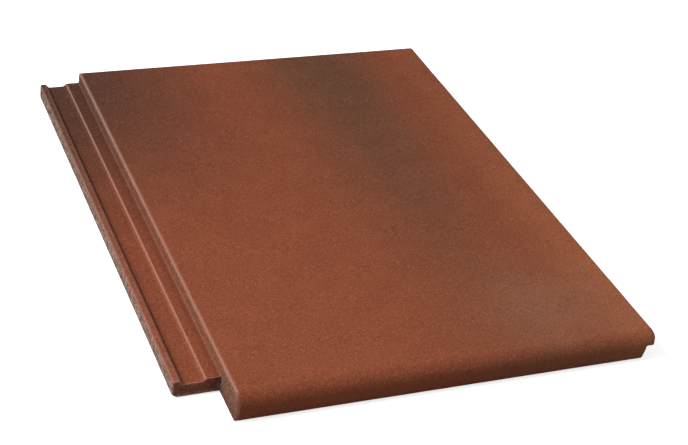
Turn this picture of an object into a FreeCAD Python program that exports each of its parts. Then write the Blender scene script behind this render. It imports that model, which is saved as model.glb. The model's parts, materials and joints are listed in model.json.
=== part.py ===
import FreeCAD, Part
import math
import os

from FreeCAD import Vector

# A flat interlocking concrete roof tile, cast as one piece.
#
# +Y runs up the roof slope, from the rounded nose to the head. +X runs across the slope, from
# the underlock strip, which the tile on the left covers, to the overlock, which covers the tile
# on the right. The deck is the broad upper face. All sizes are in millimetres.
#
# The tile is drawn level, with z = 0 at its seat: the plane of the nose's underside, the left
# foot and the pads that lie on the batten. It is then laid down as it lies free on a floor,
# on its nose and on the tips of its nibs, with the origin on the floor under its middle.

# Overall
LENGTH = 420.0  # nose to head
WIDTH = 330.0  # outer edge of the underlock to the edge of the overlock
HEIGHT = 20.5  # deck face above the seat
DECK_THICKNESS = 12.5
UNDERLOCK_WIDTH = 32.0
SIDE_GAP = 2.0  # between this deck and the next tile's, seen from above

# Nose: a round front edge that leans back under its own radius
NOSE_RADIUS = 10.0
NOSE_RAKE = 13.0  # degrees that the lower front face leans in from upright
NOSE_DEPTH = 24.0  # nose to the back of its flat underside
NOSE_BACK_DRAFT = 4.0  # slope of the nose's back over the height of the recess

# Underlock strip: outer rib, channel and a raised platform at the deck's side wall
UNDERLOCK_SETBACK = 33.0  # its front end stands back from the nose
RIB_HEIGHT = 12.4
RIB_WIDTH = 4.7
RIB_INNER_SLOPE = 2.7
CHANNEL_HEIGHT = 9.4
CHANNEL_WIDTH = 11.8
PLATFORM_STEP = 2.2  # height of the slope between the channel and the platform
PLATFORM_STEP_SLOPE = 2.5
EDGE_CHAMFER_WIDTH = 3.0
EDGE_CHAMFER_HEIGHT = 1.5
WALL_DRAFT = 0.8  # that the deck's side wall leans out over the full height
FOOT_WIDTH = 10.0  # solid strip under the deck's left side, along the whole tile
FOOT_DRAFT = 5.0

# Overlock: the thin right-hand margin that lies over the next tile's underlock
LAP_CLEARANCE = 0.8  # between the overlock and the next tile's underlock, all round
OVERLOCK_WALL_DRAFT = 2.5
WATER_BAR_DEPTH = 1.8  # the overlock's rib, which hangs over the next tile's channel
WATER_BAR_DRAFT = 1.5
NOSE_END_INSET = 6.8  # the full height of the nose stops this far from the overlock's edge
NOSE_END_RADIUS = 1.0

# Nibs that hook over the batten, each under a pad that lies on it
NIB_COUNT = 2
NIB_WIDTH = 42.0
NIB_LENGTH = 16.0
NIB_DEPTH = 12.0  # tip below the seat
NIB_DRAFT = 2.5
NIB_HEAD_DISTANCE = 22.0  # head to the face that bears on the batten
PAD_MARGIN = 6.0  # pad beyond the nib at each side
PAD_LENGTH = 55.0  # pad in front of the nib
PAD_DRAFT = 4.0

# Weather bars across the underside, behind the nose
WEATHER_BAR_COUNT = 2
WEATHER_BAR_FIRST = 46.0  # nose to the middle of the first bar
WEATHER_BAR_SPACING = 20.0
WEATHER_BAR_WIDTH = 10.0
WEATHER_BAR_DRAFT = 3.0
WEATHER_BAR_CLEARANCE = 2.0  # bars stop this far above the seat

# Edge roundings
FOOT_RADIUS = 2.0  # lower front edge of the nose, and tips of the nibs
DECK_ARRIS_RADIUS = 1.2
OVERLOCK_ARRIS_RADIUS = 1.6
LIP_RADIUS = 0.8
HEAD_ARRIS_RADIUS = 0.8
RIB_RADIUS = 1.2
CHANNEL_RADIUS = 0.8
WALL_FOOT_RADIUS = 1.2
RECESS_RADIUS = 2.0
BAR_RADIUS = 1.0
FRONT_CORNER_RADIUS = 3.0
HEAD_CORNER_RADIUS = 2.5
UNDERLOCK_CORNER_RADIUS = 1.5

# Places that follow from the sizes
FRONT = -LENGTH / 2
HEAD = LENGTH / 2
LEFT = -WIDTH / 2
RIGHT = WIDTH / 2
DECK_LEFT = LEFT + UNDERLOCK_WIDTH
COVER_WIDTH = RIGHT + SIDE_GAP - DECK_LEFT  # from one tile to the next along a course
UNDERSIDE = HEIGHT - DECK_THICKNESS
PLATFORM_HEIGHT = CHANNEL_HEIGHT + PLATFORM_STEP
LIP_UNDERSIDE = PLATFORM_HEIGHT + LAP_CLEARANCE
UNDERLOCK_FRONT = FRONT + UNDERLOCK_SETBACK
RIB_INNER = LEFT + RIB_WIDTH
CHANNEL_LEFT = RIB_INNER + RIB_INNER_SLOPE
CHANNEL_RIGHT = CHANNEL_LEFT + CHANNEL_WIDTH
PLATFORM_LEFT = CHANNEL_RIGHT + PLATFORM_STEP_SLOPE
POCKET_LEFT = COVER_WIDTH + LEFT - SIDE_GAP  # wall beside the next tile's rib
RECESS_LEFT = DECK_LEFT + FOOT_WIDTH + FOOT_DRAFT
RECESS_RIGHT = POCKET_LEFT - OVERLOCK_WALL_DRAFT
NIB_BEARING = HEAD - NIB_HEAD_DISTANCE
RAKE = math.radians(NOSE_RAKE)
NOSE_CORNER = FRONT + NOSE_RADIUS - NOSE_RADIUS / math.tan((math.pi / 2 - RAKE) / 2)
NOSE_FOOT = NOSE_CORNER + HEIGHT * math.tan(RAKE)


def in_section(x, z):
    """A point of a section across the tile."""
    return Vector(x, 0, z)


def in_side_view(y, z):
    """A point of a profile along the tile."""
    return Vector(0, y, z)


def in_plan(x, y):
    """A point of an outline seen from above."""
    return Vector(x, y, 0)


def rounded_face(corners, place):
    """A flat face whose corners, given as (a, b, radius), are rounded by tangent arcs."""
    points = [place(a, b) for a, b, _ in corners]
    edges = []
    starts = []
    ends = []
    for i, (_, _, radius) in enumerate(corners):
        corner = points[i]
        back = (points[i - 1] - corner).normalize()
        ahead = (points[(i + 1) % len(points)] - corner).normalize()
        half = back.getAngle(ahead) / 2
        reach = radius / math.tan(half)
        starts.append(corner + back * reach)
        ends.append(corner + ahead * reach)
        if radius:
            to_middle = (back + ahead).normalize() * (radius / math.sin(half) - radius)
            edges.append(Part.Arc(starts[i], corner + to_middle, ends[i]).toShape())
    for i in range(len(points)):
        edges.append(Part.LineSegment(ends[i - 1], starts[i]).toShape())
    return Part.Face(Part.Wire(Part.__sortEdges__(edges)))


def along_tile(face, y_from, y_to):
    """A section across the tile, drawn out from one Y to another."""
    face.translate(Vector(0, y_from, 0))
    return face.extrude(Vector(0, y_to - y_from, 0))


def across_tile(face, x_from, x_to):
    """A profile along the tile, drawn out from one X to another."""
    face.translate(Vector(x_from, 0, 0))
    return face.extrude(Vector(x_to - x_from, 0, 0))


def wall_x(z):
    """Where the deck's left side wall stands at a height: it leans out towards the seat."""
    return DECK_LEFT - WALL_DRAFT * (HEIGHT - z) / HEIGHT


def underlock_corners():
    """From the seat up over the outer rib and along the channel to the deck's wall."""
    return [
        (LEFT + EDGE_CHAMFER_WIDTH, 0, 0),
        (LEFT, EDGE_CHAMFER_HEIGHT, 0.5),
        (LEFT, RIB_HEIGHT, RIB_RADIUS),
        (RIB_INNER, RIB_HEIGHT, RIB_RADIUS),
        (CHANNEL_LEFT, CHANNEL_HEIGHT, CHANNEL_RADIUS),
        (CHANNEL_RIGHT, CHANNEL_HEIGHT, CHANNEL_RADIUS),
        (PLATFORM_LEFT, PLATFORM_HEIGHT, CHANNEL_RADIUS),
        (wall_x(PLATFORM_HEIGHT), PLATFORM_HEIGHT, WALL_FOOT_RADIUS),
    ]


def deck_top_corners():
    """The deck face, from its left arris to the underside of the overlock's lip."""
    return [
        (DECK_LEFT, HEIGHT, DECK_ARRIS_RADIUS),
        (RIGHT, HEIGHT, OVERLOCK_ARRIS_RADIUS),
        (RIGHT, LIP_UNDERSIDE, LIP_RADIUS),
    ]


def overlock_underside_corners():
    """The overlock's underside, right to left, fitted over the next tile's underlock."""
    bar_foot = LIP_UNDERSIDE - WATER_BAR_DEPTH
    rib_cover = RIB_HEIGHT + LAP_CLEARANCE
    bar_left = COVER_WIDTH + CHANNEL_LEFT + LAP_CLEARANCE
    bar_right = COVER_WIDTH + CHANNEL_RIGHT - LAP_CLEARANCE
    return [
        (bar_right + WATER_BAR_DRAFT, LIP_UNDERSIDE, CHANNEL_RADIUS),
        (bar_right, bar_foot, CHANNEL_RADIUS),
        (bar_left + WATER_BAR_DRAFT, bar_foot, CHANNEL_RADIUS),
        (bar_left, rib_cover, CHANNEL_RADIUS),
        (POCKET_LEFT, rib_cover, CHANNEL_RADIUS),
        (RECESS_RIGHT, UNDERSIDE, CHANNEL_RADIUS),
    ]


def underside_corners():
    """The deck's underside and the foot that carries its left side."""
    return [
        (RECESS_LEFT, UNDERSIDE, RECESS_RADIUS),
        (RECESS_LEFT - FOOT_DRAFT, 0, 0),
    ]


def main_run():
    """Underlock, deck and overlock: one section from the underlock's front end to the head."""
    section = (
        underlock_corners()
        + deck_top_corners()
        + overlock_underside_corners()
        + underside_corners()
    )
    return along_tile(rounded_face(section, in_section), UNDERLOCK_FRONT, HEAD)


def front_run():
    """Deck and overlock alone, in front of the underlock."""
    section = (
        [(wall_x(0), 0, 0)]
        + deck_top_corners()
        + overlock_underside_corners()
        + underside_corners()
    )
    return along_tile(rounded_face(section, in_section), FRONT, UNDERLOCK_FRONT)


def nose_bar():
    """The solid front bar, at full height nearly to the overlock's edge."""
    end = RIGHT - NOSE_END_INSET
    section = (
        [(wall_x(0), 0, 0)]
        + deck_top_corners()
        + [(end, LIP_UNDERSIDE, NOSE_END_RADIUS), (end, 0, 0)]
    )
    bar = along_tile(rounded_face(section, in_section), FRONT, UNDERLOCK_FRONT)
    foot_back = FRONT + NOSE_DEPTH
    top_back = foot_back + NOSE_BACK_DRAFT * HEIGHT / UNDERSIDE
    side = [
        (FRONT, 0, 0),
        (FRONT, HEIGHT, 0),
        (top_back, HEIGHT, 0),
        (foot_back, 0, 0),
    ]
    return bar.common(across_tile(rounded_face(side, in_side_view), LEFT, RIGHT))


def downstand(x_span, y_span, z_span, drafts, radius):
    """A block under the deck that narrows, from its root down to its tip, by a draft at each
    side, at its front and at its back. Its tip is rounded."""
    x_from, x_to = x_span
    y_from, y_to = y_span
    root, tip = z_span
    side_draft, front_draft, back_draft = drafts
    side = [
        (y_from, root, 0),
        (y_to, root, 0),
        (y_to - back_draft, tip, radius),
        (y_from + front_draft, tip, radius),
    ]
    section = [
        (x_from, root, 0),
        (x_to, root, 0),
        (x_to - side_draft, tip, radius),
        (x_from + side_draft, tip, radius),
    ]
    block = across_tile(rounded_face(side, in_side_view), x_from, x_to)
    return block.common(along_tile(rounded_face(section, in_section), y_from, y_to))


def weather_bar(middle):
    """A low bar across the underside that stops wind-driven rain."""
    half = WEATHER_BAR_WIDTH / 2
    return downstand(
        (DECK_LEFT, RECESS_RIGHT),
        (middle - half, middle + half),
        (UNDERSIDE, WEATHER_BAR_CLEARANCE),
        (WEATHER_BAR_DRAFT, WEATHER_BAR_DRAFT, WEATHER_BAR_DRAFT),
        BAR_RADIUS,
    )


def pad(middle):
    """The pad that lies on the batten, with a nib under its back end."""
    half = NIB_WIDTH / 2 + PAD_MARGIN
    return downstand(
        (middle - half, middle + half),
        (NIB_BEARING - PAD_LENGTH, NIB_BEARING + NIB_LENGTH + PAD_DRAFT),
        (UNDERSIDE, 0),
        (PAD_DRAFT, PAD_DRAFT, PAD_DRAFT),
        BAR_RADIUS,
    )


def nib(middle):
    """A hanging nib: upright where it bears on the batten, drafted on its other sides."""
    half = NIB_WIDTH / 2
    return downstand(
        (middle - half, middle + half),
        (NIB_BEARING, NIB_BEARING + NIB_LENGTH),
        (UNDERSIDE, -NIB_DEPTH),
        (NIB_DRAFT, 0, NIB_DRAFT),
        FOOT_RADIUS,
    )


def side_profile():
    """The tile's outline seen from the side, with its round nose and the head's arris."""
    outline = [
        (NOSE_FOOT, 0, FOOT_RADIUS),
        (NOSE_CORNER, HEIGHT, NOSE_RADIUS),
        (HEAD, HEIGHT, HEAD_ARRIS_RADIUS),
        (HEAD, 0, 0),
    ]
    return across_tile(rounded_face(outline, in_side_view), LEFT, RIGHT)


def plan_outline():
    """The tile's outline seen from above, with its notch in front of the underlock."""
    wall_foot = wall_x(0)
    outline = [
        (wall_foot, FRONT, FRONT_CORNER_RADIUS),
        (RIGHT, FRONT, FRONT_CORNER_RADIUS),
        (RIGHT, HEAD, HEAD_CORNER_RADIUS),
        (LEFT, HEAD, UNDERLOCK_CORNER_RADIUS),
        (LEFT, UNDERLOCK_FRONT, UNDERLOCK_CORNER_RADIUS),
        (wall_foot, UNDERLOCK_FRONT, 0),
    ]
    return rounded_face(outline, in_plan).extrude(Vector(0, 0, HEIGHT))


def level_tile():
    """The whole tile as one solid, with its seat level."""
    envelope = side_profile().common(plan_outline())
    body = main_run().fuse([front_run(), nose_bar()]).removeSplitter().common(envelope)
    cast_on = []
    for i in range(WEATHER_BAR_COUNT):
        cast_on.append(weather_bar(FRONT + WEATHER_BAR_FIRST + i * WEATHER_BAR_SPACING))
    share = (RECESS_RIGHT - RECESS_LEFT) / NIB_COUNT
    for i in range(NIB_COUNT):
        middle = RECESS_LEFT + (i + 0.5) * share
        cast_on += [pad(middle), nib(middle)]
    return body.fuse(cast_on).removeSplitter()


def laid_down(tile):
    """The tile as it lies free: tipped so that the lower edges of its nose and of its nibs,
    which have the same rounding, both touch the floor."""
    nose_edge = NOSE_FOOT + FOOT_RADIUS / math.tan((math.pi / 2 + RAKE) / 2)
    nib_edge = NIB_BEARING + FOOT_RADIUS
    tilt = math.degrees(math.atan2(NIB_DEPTH, nib_edge - nose_edge))
    tile.rotate(Vector(0, 0, 0), Vector(1, 0, 0), tilt)
    box = tile.optimalBoundingBox(False, False)
    tile.translate(Vector(-box.Center.x, -box.Center.y, -box.ZMin))
    print(f"tipped by {tilt:.5f} degrees, then moved by {-box.Center.y:.5f}, {-box.ZMin:.5f}")
    return tile


def save(shape, name):
    """Writes one closed solid to parts/, and says what it is."""
    solids = shape.Solids
    if len(solids) != 1:
        raise ValueError(f"{name} should be one solid, and is {len(solids)}")
    if not solids[0].isValid():
        raise ValueError(f"{name} is not a valid solid")
    box = solids[0].optimalBoundingBox(False, False)
    print(
        f"{name}: {solids[0].Volume / 1000:.1f} cm3, {len(solids[0].Faces)} faces,"
        f" X {box.XMin:.2f} to {box.XMax:.2f}, Y {box.YMin:.2f} to {box.YMax:.2f},"
        f" Z {box.ZMin:.2f} to {box.ZMax:.2f}"
    )
    solids[0].exportStep(os.path.join("parts", f"{name}.step"))


os.makedirs("parts", exist_ok=True)
save(laid_down(level_tile()), "roof_tile")
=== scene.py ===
# %% [markdown]
# # A concrete roof tile
#
# This is a flat interlocking roof tile. It is pressed in one go from damp concrete, coloured
# right through and coated on top, so it is a single piece with no joints. The exact shape
# comes from the construction model. Here that shape gets what the press and the mixer leave
# on a real tile: worn arrises, a slightly uneven skin, sandy grain and a flamed colour.
#
# We start by loading the construction model and keeping its overall box, whose sides also give
# the tile's left and right edges.

import json
import math

import bmesh
import bpy
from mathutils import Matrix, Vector


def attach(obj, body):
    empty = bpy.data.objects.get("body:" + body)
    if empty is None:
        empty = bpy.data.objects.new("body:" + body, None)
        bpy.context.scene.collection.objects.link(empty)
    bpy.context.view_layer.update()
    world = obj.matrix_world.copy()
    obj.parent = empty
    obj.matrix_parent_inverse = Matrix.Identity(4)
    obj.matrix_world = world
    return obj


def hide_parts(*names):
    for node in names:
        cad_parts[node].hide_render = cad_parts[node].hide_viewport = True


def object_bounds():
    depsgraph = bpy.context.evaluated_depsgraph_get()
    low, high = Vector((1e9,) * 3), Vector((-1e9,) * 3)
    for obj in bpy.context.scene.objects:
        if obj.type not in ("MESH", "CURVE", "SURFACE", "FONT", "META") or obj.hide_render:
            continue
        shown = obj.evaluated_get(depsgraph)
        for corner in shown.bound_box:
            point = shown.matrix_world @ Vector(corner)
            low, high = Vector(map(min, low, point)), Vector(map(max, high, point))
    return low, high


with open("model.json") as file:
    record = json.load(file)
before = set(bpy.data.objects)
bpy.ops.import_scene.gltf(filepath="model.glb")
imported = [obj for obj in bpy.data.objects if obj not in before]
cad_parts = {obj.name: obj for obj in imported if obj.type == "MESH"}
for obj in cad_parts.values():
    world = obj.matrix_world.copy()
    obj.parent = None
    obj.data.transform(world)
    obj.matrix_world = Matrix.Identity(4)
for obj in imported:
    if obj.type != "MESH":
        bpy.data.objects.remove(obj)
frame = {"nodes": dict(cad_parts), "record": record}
cad_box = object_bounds()
tile = frame["nodes"]["roof_tile"]
print("tile box in metres:", [tuple(round(c, 4) for c in corner) for corner in cad_box])

# %% [markdown]
# ## Directions on the tile
#
# The tile lies on its nose and on the tips of its nibs, so its deck isn't quite level. Work on
# it is easier in its own directions: across the slope, up the slope, and out of the deck. The
# record states the deck as a flat face with an outward normal, and the other two directions
# follow from that normal. Distances are then measured from the nose and from the seat, which
# is the flat underside that rests on the tile below.

# %% Find the deck's own directions
faces = {m["name"]: m for m in frame["record"]["mounts"]}
OUT = Vector(faces["deck_lap"]["axis"])
ACROSS = Vector((1, 0, 0))
UPSLOPE = OUT.cross(ACROSS)
SEAT = Vector(faces["nose_underside"]["pos_m"]).dot(OUT)
DECK = Vector(faces["deck_lap"]["pos_m"]).dot(OUT) - SEAT
NOSE = min(v.co.dot(UPSLOPE) for v in tile.data.vertices)
HEAD = max(v.co.dot(UPSLOPE) for v in tile.data.vertices) - NOSE
RIGHT = cad_box[1][0]
LEFT = cad_box[0][0]
STRIP_WIDTH = 0.032
DECK_LEFT = LEFT + STRIP_WIDTH
NOSE_RADIUS = 0.010

print(f"deck {DECK * 1000:.1f} mm above the seat, tile {HEAD * 1000:.1f} mm long")


def along(co):
    """How far up the slope a point is from the nose."""
    return co.dot(UPSLOPE) - NOSE


def height(co):
    """How far a point is above the seat."""
    return co.dot(OUT) - SEAT


# %% [markdown]
# ## The cast body
#
# A casting with soft, worn edges could be sculpted, or built up from a block by bevels. The
# construction model already has every groove and radius right, so we work on a copy of it. Its
# mesh comes as loose triangles: merging the doubles and dissolving the flat ones leaves clean
# faces. The normals stored with the mesh no longer fit those faces, so they are dropped. The
# broad faces then have no points inside them that could move, so the body is sliced into a
# fine grid with bisect, up the slope, across it, and through its side walls.

# %% Copy the shape and clean its faces
def select_only(piece):
    """Leaves one object selected and active."""
    bpy.ops.object.select_all(action="DESELECT")
    piece.select_set(True)
    bpy.context.view_layer.objects.active = piece


cast = bpy.data.objects.new("cast_tile", tile.data.copy())
bpy.context.scene.collection.objects.link(cast)
cast.data.materials.clear()
select_only(cast)
bpy.ops.mesh.customdata_custom_splitnormals_clear()
bpy.ops.object.mode_set(mode="EDIT")
bpy.ops.mesh.select_all(action="SELECT")
bpy.ops.mesh.remove_doubles(threshold=0.00001)
bpy.ops.mesh.dissolve_limited(angle_limit=math.radians(1))
bpy.ops.object.mode_set(mode="OBJECT")
print("clean faces:", len(cast.data.polygons))


# %% Slice the body into a grid
def slice_body(normal, offsets):
    """Cuts the body with parallel planes, each at a distance from the frame's origin."""
    for offset in offsets:
        bpy.ops.mesh.select_all(action="SELECT")
        bpy.ops.mesh.bisect(plane_co=normal * offset, plane_no=normal, threshold=0.00002)


def spread(start, end, step):
    """Even stops from start to end, both left out."""
    count = round((end - start) / step)
    return [start + (end - start) * i / count for i in range(1, count)]


through_walls = [SEAT + 0.001 * up for up in (3, 5.5, 7.5, 10.5, 12.5, 14, 16.5)]
round_nose = [NOSE + 0.001 * up for up in (0.5, 1.2, 2.2, 3.6, 5.2, 7, 8.5, 12.5)]
up_the_deck = [NOSE + stop for stop in spread(0.0125, HEAD, 0.0024)]
beside_arrises = [DECK_LEFT + 0.0022, DECK_LEFT + 0.0034, RIGHT - 0.003, RIGHT - 0.0042]
beside_grooves = [
    LEFT + 0.001 * across for across in (1.9, 3.0, 8.4, 9.4, 12.5, 15.8, 18.4, 22.6, 23.4, 26.0, 28.8, 29.7)
]
select_only(cast)
bpy.ops.object.mode_set(mode="EDIT")
slice_body(OUT, through_walls)
slice_body(ACROSS, spread(DECK_LEFT + 0.0034, RIGHT - 0.0042, 0.0036) + beside_arrises)
slice_body(ACROSS, beside_grooves)
slice_body(UPSLOPE, round_nose)
slice_body(UPSLOPE, up_the_deck)
bpy.ops.object.mode_set(mode="OBJECT")
print("faces in the grid:", len(cast.data.polygons))

# %% [markdown]
# The broad round of the nose came in as flat facets, and the new points lie on those facets.
# Each one is pushed out to the true radius, so that the nose shades as one smooth curve.

# %% Round the nose
BELOW_CENTRE = 0.0023  # the nose leans back, so its round goes on a little below its centre
rounded = 0
normals = [v.normal.copy() for v in cast.data.vertices]
for vertex, normal in zip(cast.data.vertices, normals):
    behind = along(vertex.co) - NOSE_RADIUS
    above = height(vertex.co) - (DECK - NOSE_RADIUS)
    reach = math.hypot(behind, above)
    on_curve = behind < 0 and above > -BELOW_CENTRE and abs(normal.dot(ACROSS)) < 0.5
    if on_curve and 0.95 < reach / NOSE_RADIUS < 0.9999:
        stretch = NOSE_RADIUS / reach - 1
        vertex.co += UPSLOPE * (behind * stretch) + OUT * (above * stretch)
        rounded += 1
print("points moved onto the round:", rounded)

# %% [markdown]
# ## Where edges wear and shade is painted
#
# Concrete wears on its outer edges, which also get a painted highlight, and its inner corners
# get painted shade. Both can be read off the shape: round each point, the faces fold away from
# an outer edge and towards an inner corner. The folds are stored on the mesh as two attributes
# that the material will read. The one for outer edges is also a vertex group, for the wear
# itself. The one for inner corners also holds painted shade along the edges of the head and
# the overlock, and on the nose's left end, darker towards its foot, and in the corner behind
# it. A third attribute says how whole the coating is: whole on the deck and the nose, thinner
# on the walls, and missing from the underside, the head's end and the foot of the sides.

# %% Measure the edges and mark the coating
NOSE_ROUND_END = 0.0115  # the last step of the nose's broad round, up the slope
SMALLEST_FOLD = 0.06  # radians, below which a fold is only a facet of something smooth
WHOLE_FOLD = 0.55  # radians, from which an edge or a corner counts in full
LEFT_END_LENGTH = 0.032  # of the nose's left end, up the slope
SIDES_COATED_FROM = 0.0078  # above the seat


def fold(vertex):
    """Radians by which the faces round a point fold: outwards positive, inwards negative.
    The steps that make the broad round of the nose aren't edges, and are left out."""
    on_nose = along(vertex.co) < NOSE_ROUND_END
    total = 0.0
    for edge in vertex.link_edges:
        run = (edge.verts[1].co - edge.verts[0].co).normalized()
        if edge.is_manifold and not (on_nose and abs(run.dot(ACROSS)) > 0.7):
            angle = edge.calc_face_angle_signed(0.0)
            total += angle if abs(angle) > SMALLEST_FOLD else 0.0
    return total


def on_left_end(co):
    """The nose's left end, in front of the lapped strip."""
    return co.x < DECK_LEFT + 0.0005 and along(co) < LEFT_END_LENGTH


def nose_end_shade_at(co, normal):
    """Painted shade: on the nose's left end, darker towards its foot, and in the corner behind it."""
    if on_left_end(co) and normal.dot(ACROSS) < -0.7:
        return 1.7 * (1.0 - height(co) / DECK)
    beside_deck = DECK_LEFT - 0.006 < co.x < DECK_LEFT
    at_strip_front = 0.030 < along(co) < 0.0335
    return 0.9 if beside_deck and at_strip_front and height(co) < 0.011 else 0.0


def coating_at(co, normal):
    """How whole the coating is: 1 on the deck, less on walls and the rib, 0 where bare."""
    faces_up = normal.dot(OUT)
    head_end = along(co) > HEAD - 0.0006 and faces_up < 0.5
    strip_end = co.x < DECK_LEFT - 0.003 and normal.dot(UPSLOPE) < -0.5
    front_face = along(co) < 0.008 or on_left_end(co) or strip_end
    low_side = height(co) < SIDES_COATED_FROM and not front_face
    outer_wall = co.x < LEFT + 0.0013
    outer_rib = co.x < LEFT + 0.005
    if head_end or faces_up < -0.35 or low_side:
        return 0.0
    if strip_end:
        return 0.85
    if outer_wall:
        return min(max((height(co) - 0.0102) / 0.0022, 0.0), 1.0)
    if abs(normal.dot(ACROSS)) > 0.85:
        return 0.45 if on_left_end(co) else 0.75
    return 0.85 if outer_rib else 1.0


def is_far_edge(co):
    """The head and the overlock's edge, whose outer edge gets a dark line of painted shade."""
    return along(co) > HEAD - 0.0015 or co.x > RIGHT - 0.0014


bm = bmesh.new()
bm.from_mesh(cast.data)
bm.normal_update()
folds = [fold(v) for v in bm.verts]
coated = [coating_at(v.co, v.normal) for v in bm.verts]
far = [is_far_edge(v.co) for v in bm.verts]
# Painted shade on the nose's left end and in the corner behind it.
dust = [nose_end_shade_at(v.co, v.normal) for v in bm.verts]
bm.free()


def store(name, values):
    """Keeps one number for each point of the body, for the material to read."""
    layer = cast.data.attributes.new(name, "FLOAT", "POINT")
    layer.data.foreach_set("value", values)


# Outer edges: real wear, also drawn with a painted highlight, except along the head and the overlock.
arris = [min(max(f / WHOLE_FOLD, 0.0), 1.0) for f in folds]
store("arris", [0.0 if dark else a for a, dark in zip(arris, far)])
# Painted shade: inner corners, a dark line on the outer edges of the head and the overlock, and the nose's
# left end.
painted_shade = [min(max(f if dark else -f, 0.0) / WHOLE_FOLD, 1.0) for f, dark in zip(folds, far)]
store("painted_shade", [max(h, d) for h, d in zip(painted_shade, dust)])
store("coated", coated)
worn = cast.vertex_groups.new(name="worn")
for index, weight in enumerate(arris):
    if weight > 0.05:
        worn.add([index], weight, "REPLACE")
bare = cast.vertex_groups.new(name="bare")
for index, cover in enumerate(coated):
    if cover < 1.0:
        bare.add([index], 1.0 - cover, "REPLACE")
print("points on outer edges:", sum(a > 0.05 for a in arris), "of", len(arris))

# %% [markdown]
# ## Wear and unevenness
#
# A mould leaves no surface perfectly flat, and handling rubs the edges unevenly. Both could be
# faked with bump alone, but then the outline of an edge would stay ruler straight. Displace
# modifiers with a soft cloud pattern really move the points: a little everywhere, with finer
# sand on the bare faces, and more on the outer edges, where they only push inwards.

# %% Roughen the body
def displace(name, grain, strength, middle, group=""):
    """Moves the body's points in and out by a cloud pattern of one grain size."""
    pattern = bpy.data.textures.new(name, "CLOUDS")
    pattern.noise_scale = grain
    pattern.noise_depth = 2
    step = cast.modifiers.new(name, "DISPLACE")
    step.texture = pattern
    step.texture_coords = "LOCAL"
    step.strength = strength
    step.mid_level = middle
    step.vertex_group = group
    bpy.ops.object.modifier_apply(modifier=step.name)


select_only(cast)
displace("mould_unevenness", 0.03, 0.00018, 0.55)
displace("bare_sand", 0.004, 0.00014, 0.7, "bare")
displace("worn_arris", 0.008, 0.0003, 1.0, "worn")
bpy.ops.object.shade_smooth_by_angle(angle=math.radians(38))
print("body now", [tuple(round(c, 4) for c in corner) for corner in cast.bound_box][::6])

# %% [markdown]
# ## Writing a material as arithmetic
#
# A concrete surface mixes many soft masks, and drawing each as a chain of boxes gets hard to
# follow. A small wrapper lets us write `1 - mask * 0.5` in Python and adds the Math nodes for
# us. Every other node goes through one method, which takes its type, settings and inputs.

# %% A shader value that works like a number
class Value:
    """One output of a node, usable in sums and products."""

    def __init__(self, paint, socket):
        self.paint = paint
        self.socket = socket

    def math(self, operation, *values):
        inputs = dict(enumerate(values))
        return self.paint.node("Math", {"operation": operation}, inputs)

    def __add__(self, other):
        return self.math("ADD", self, other)

    def __sub__(self, other):
        return self.math("SUBTRACT", self, other)

    def __rsub__(self, other):
        return self.math("SUBTRACT", other, self)

    def __mul__(self, other):
        return self.math("MULTIPLY", self, other)

    __radd__ = __add__
    __rmul__ = __mul__

    def clamp(self):
        return self.paint.node("Clamp", {}, {"Value": self})

    def bell(self, width):
        """1 where this value is zero, fading to nothing on both sides."""
        return ((self * self) * (-1 / width**2)).exp()

    def exp(self):
        return self.math("EXPONENT", self)

    def rise(self, start, end):
        """0 up to one value, 1 from another, and a soft ramp between them."""
        limits = {"Value": self, "From Min": start, "From Max": end}
        return self.paint.node("MapRange", {"interpolation_type": "SMOOTHSTEP"}, limits)


class Paint:
    """The nodes of one material, or of the world."""

    def __init__(self, owner):
        owner.use_nodes = True
        self.tree = owner.node_tree
        self.tree.nodes.clear()

    def node(self, kind, settings, inputs, output=0):
        """Adds a node, makes its settings, then fills its sockets with values or links."""
        made = self.tree.nodes.new("ShaderNode" + kind)
        for name, setting in settings.items():
            setattr(made, name, setting)
        for name, value in inputs.items():
            if isinstance(value, Value):
                self.tree.links.new(value.socket, made.inputs[name])
            else:
                made.inputs[name].default_value = value
        return Value(self, made.outputs[output]) if made.outputs else None

    def mix(self, factor, first, second, way="MIX"):
        """A colour between two others, or one laid over the other in another way."""
        settings = {"data_type": "RGBA", "blend_type": way}
        return self.node("Mix", settings, {0: factor, 6: first, 7: second}, 2)

    def noise(self, place, scale, detail=2.0, rough=0.5):
        """Soft random values from 0 to 1, at so many cells to the metre."""
        inputs = {"Vector": place, "Scale": scale, "Detail": detail, "Roughness": rough}
        return self.node("TexNoise", {}, inputs, "Fac")


def colour(red, green, blue):
    """A screen colour, 0 to 255, as the linear values that a shader takes."""
    linear = [((c / 255 + 0.055) / 1.055) ** 2.4 if c > 10 else c / 3295 for c in (red, green, blue)]
    return (*linear, 1.0)


print("shader wrapper ready")

# %% [markdown]
# ## The flamed colour
#
# The colour is fed onto the tile while it travels lengthwise through the machine, so it lies
# in soft streaks up the slope: brick red in the middle, a broad umber flame right of it that
# is strongest at the head, a darker left margin at the head and an orange right edge, with a
# paler dusty patch near the nose. Each streak is a bell or a ramp across the tile, bent a
# little by slow noise so that no border is straight.

# %% Streaks of colour on the deck
flamed_concrete = bpy.data.materials.new("flamed_concrete")
concrete = Paint(flamed_concrete)
spot = concrete.node("TexCoord", {}, {}, "Object")
x = concrete.node("SeparateXYZ", {}, {0: spot}, 0)
y = concrete.node("SeparateXYZ", {}, {0: spot}, 1)

long_spot = concrete.node("Mapping", {}, {"Vector": spot, "Scale": (1.0, 0.22, 1.0)})
wander = concrete.noise(long_spot, 14.0, 3.0) - 0.5
bent_x = x + wander * 0.03

to_head = y.rise(-0.24, 0.2)
flame = ((bent_x - 0.07).bell(0.052) * (0.25 + to_head * 0.75)).clamp()
left_shade = (bent_x.rise(0.0, -0.14) * y.rise(-0.06, 0.2)).clamp()
right_glow = (x + wander * 0.02).rise(0.118, 0.162)
front_dust = (bent_x - 0.11).bell(0.045) * (y + 0.165).bell(0.045)

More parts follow.
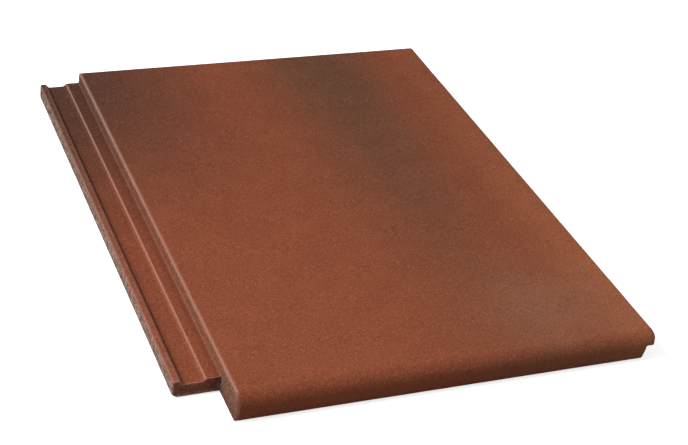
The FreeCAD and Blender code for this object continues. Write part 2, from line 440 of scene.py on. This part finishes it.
BRICK = colour(139, 74, 49)
UMBER = colour(103, 68, 49)
PLUM = colour(86, 55, 43)
ORANGE = colour(157, 93, 62)
DUST = colour(140, 98, 76)
streaked = concrete.mix(flame * 0.95, BRICK, UMBER)
streaked = concrete.mix(left_shade * 0.95, streaked, PLUM)
streaked = concrete.mix(right_glow * (0.8 - to_head * 0.45), streaked, ORANGE)
streaked = concrete.mix(front_dust * 0.5, streaked, DUST)
print("streaks: flame, left shade, right glow, front dust")

# %% [markdown]
# ## Sand, pores, wear and painted shade
#
# Close up, the coating is a thin slurry over sand. Some grains show as paler points and small
# pores as dark ones, and slow patches make it a little lighter and darker. Painted shade makes
# the deck darker towards the head and the lapped strip a little darker, and the deck is a
# little lighter towards the right. Rubbed edges lose the coating and look pale and pinkish,
# with a painted highlight on them, inner corners get painted shade, and bare faces show the raw
# greyish mix. The long edges beside the deck and the channel are drawn by formula as well, as
# lines of painted highlight and painted shade up the slope, because they are finer than the mesh.

# %% Grain and wear in the colour
fine = concrete.noise(spot, 900.0, 2.0, 0.6)
medium = concrete.noise(spot, 330.0, 2.0, 0.6)
patches = concrete.noise(spot, 45.0, 3.0, 0.55)
grains = fine.rise(0.5, 0.8)
pores = medium.rise(0.42, 0.28)

out_of_deck = concrete.node("VectorMath", {"operation": "DOT_PRODUCT"}, {0: spot, 1: OUT}, "Value")


def line(across, up, width):
    """Fades to both sides of a line that runs up the slope, given by its place in the section."""
    sideways = x - across
    upwards = out_of_deck - (SEAT + up)
    return ((sideways * sideways + upwards * upwards) * (-1 / width**2)).exp()


# Painted highlights, partly also worn edges: along the deck's left arris, the step in the channel and the
# foot of the deck's wall.
wear_and_highlight_lines = (
    line(DECK_LEFT + 0.0003, DECK + 0.0008, 0.0014)
    + line(LEFT + 0.0213, 0.0115, 0.0007) * 0.55
    + line(DECK_LEFT - 0.0006, 0.0124, 0.0006) * 0.2
)
# Painted shade: at the foot of the rib, beside the foot of the deck's wall, and in a band up the middle of
# that wall.
painted_shade_lines = (
    line(LEFT + 0.0088, 0.0095, 0.0014) * 0.35
    + line(DECK_LEFT - 0.003, 0.0116, 0.002) * 0.3
    + line(DECK_LEFT - 0.0008, 0.0155, 0.0035) * 0.3
)
edge = concrete.node("Attribute", {"attribute_name": "arris"}, {}, "Fac")
corner = concrete.node("Attribute", {"attribute_name": "painted_shade"}, {}, "Fac")
coating = concrete.node("Attribute", {"attribute_name": "coated"}, {}, "Fac")

GRAIN = colour(176, 160, 152)
PORE_AND_SHADE = colour(80, 47, 36)
WORN_AND_HIGHLIGHT = colour(196, 150, 135)
RAW = colour(168, 142, 127)
RAW_DARK = colour(100, 76, 65)
raw = concrete.mix((fine * 0.5 + medium * 0.5).rise(0.4, 0.6), RAW_DARK, RAW)
surface = concrete.mix(coating, raw, streaked)
speckle = (fine - 0.5) * 0.95 + (medium - 0.5) * 0.3 + (patches - 0.5) * 0.3
# Painted shade: the lapped strip a little darker and the deck darker towards the head. The deck is also a
# little lighter towards the right, on top of the grain.
lapped_strip = x.rise(DECK_LEFT, DECK_LEFT - 0.002)
to_right = x.rise(-0.16, 0.12)
grain_and_painted_shade = speckle + 1.0 + to_right * 0.045 - to_head * 0.18 - lapped_strip * 0.06
surface = concrete.mix(1.0, surface, grain_and_painted_shade, "MULTIPLY")
surface = concrete.mix(grains * 0.16, surface, GRAIN)
surface = concrete.mix(pores * 0.12, surface, PORE_AND_SHADE)
# Pale worn edges with a painted highlight on them, from the mesh's outer edges and the lines above.
edge_wear_and_highlight = ((edge * 0.6 + wear_and_highlight_lines) * (0.35 + fine * 0.9)).clamp()
surface = concrete.mix(edge_wear_and_highlight * 0.75, surface, WORN_AND_HIGHLIGHT)
# Painted shade from the corner attribute and the lines above.
surface = concrete.mix((corner * 0.6 + painted_shade_lines).clamp() * 0.8, surface, PORE_AND_SHADE)
print("colours mixed")

# %% [markdown]
# ## Gloss and relief
#
# The coating is a little smoother than raw concrete, and neither has much shine. The relief
# of single grains is far too fine to model, so it is left to bump, the same all over. The
# coarser sand of the raw faces is already in the shape.

# %% Finish the concrete
relief = fine * 0.5 + medium * 0.8 + patches * 0.4
bump = concrete.node(
    "Bump", {}, {"Strength": 0.7, "Distance": 0.0006, "Height": relief}, "Normal"
)
roughness = (0.9 - coating * 0.15 + (medium - 0.5) * 0.2).clamp()
shader = concrete.node(
    "BsdfPrincipled",
    {},
    {"Base Color": surface, "Roughness": roughness, "Normal": bump, "Specular IOR Level": 0.05},
)
concrete.node("OutputMaterial", {}, {"Surface": shader})
cast.data.materials.append(flamed_concrete)
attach(cast, "root")
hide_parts("roof_tile")
print("nodes in the concrete:", len(concrete.tree.nodes))

# %% [markdown]
# ## Floor, light and camera
#
# The tile lies on a plain white floor. What the camera sees of the floor is nearly white, but
# for light that bounces it is a duller grey, so that the front of the nose stays dark. A large
# soft lamp hangs to the left of the tile, and the sky gives an even, weaker fill.

# %% Lay the floor
def seen_directly(paint):
    """1 for what is seen straight on, in a reflection or through glass, and 0 for bounces."""
    camera_ray, glossy_ray, transmission_ray = (
        paint.node("LightPath", {}, {}, f"Is {ray} Ray") for ray in ("Camera", "Glossy", "Transmission")
    )
    return (camera_ray + glossy_ray + transmission_ray).clamp()


bpy.ops.mesh.primitive_plane_add(size=12, location=(0, 0, 0))
floor = bpy.context.object
floor.name = "studio_floor"
white_floor = bpy.data.materials.new("white_floor")
white = Paint(white_floor)
grey = white.node("BsdfDiffuse", {}, {"Color": (0.3, 0.3, 0.3, 1.0)})
pale = white.node("BsdfDiffuse", {}, {"Color": (0.9, 0.9, 0.9, 1.0)})
glow = white.node("Emission", {}, {"Color": (1.0, 1.0, 1.0, 1.0), "Strength": 0.7})
lit = white.node("AddShader", {}, {0: pale, 1: glow})
floor_look = white.node("MixShader", {}, {0: seen_directly(white), 1: grey, 2: lit})
white.node("OutputMaterial", {}, {"Surface": floor_look})
floor.data.materials.append(white_floor)
print("floor", [round(side, 1) for side in floor.dimensions], "m")

# %% Light the studio
world = bpy.data.worlds.new("studio")
bpy.context.scene.world = world
sky = Paint(world)
fill = sky.node("Background", {}, {"Color": (0.95, 0.97, 1.0, 1.0), "Strength": 0.35})
backdrop = sky.node("Background", {}, {"Color": (1.0, 1.0, 1.0, 1.0), "Strength": 1.0})
sky_look = sky.node("MixShader", {}, {0: seen_directly(sky), 1: fill, 2: backdrop})
sky.node("OutputWorld", {}, {"Surface": sky_look})

bpy.ops.object.light_add(type="AREA", location=(-1.5, 0.1, 1.45))
lamp = bpy.context.object
lamp.name = "window"
lamp.data.shape = "DISK"
lamp.data.size = 1.1
lamp.data.energy = 43
lamp.rotation_euler = (-lamp.location).to_track_quat("-Z", "Y").to_euler()
print("lamp", round(lamp.location.length, 2), "m away")

# %% Place the camera
bpy.ops.object.camera_add(location=(-0.41535, -0.92231, 0.6205))
camera = bpy.context.object
camera.rotation_euler = [math.radians(a) for a in (58.5253, -5.2213, -19.8885)]
camera.data.lens = 82.8
camera.data.sensor_width = 36
camera.data.shift_x = 0.0775
camera.data.shift_y = -0.0101
bpy.context.scene.camera = camera
bpy.context.scene.view_settings.view_transform = "Standard"
print("camera", round(camera.location.length, 2), "m from the tile")
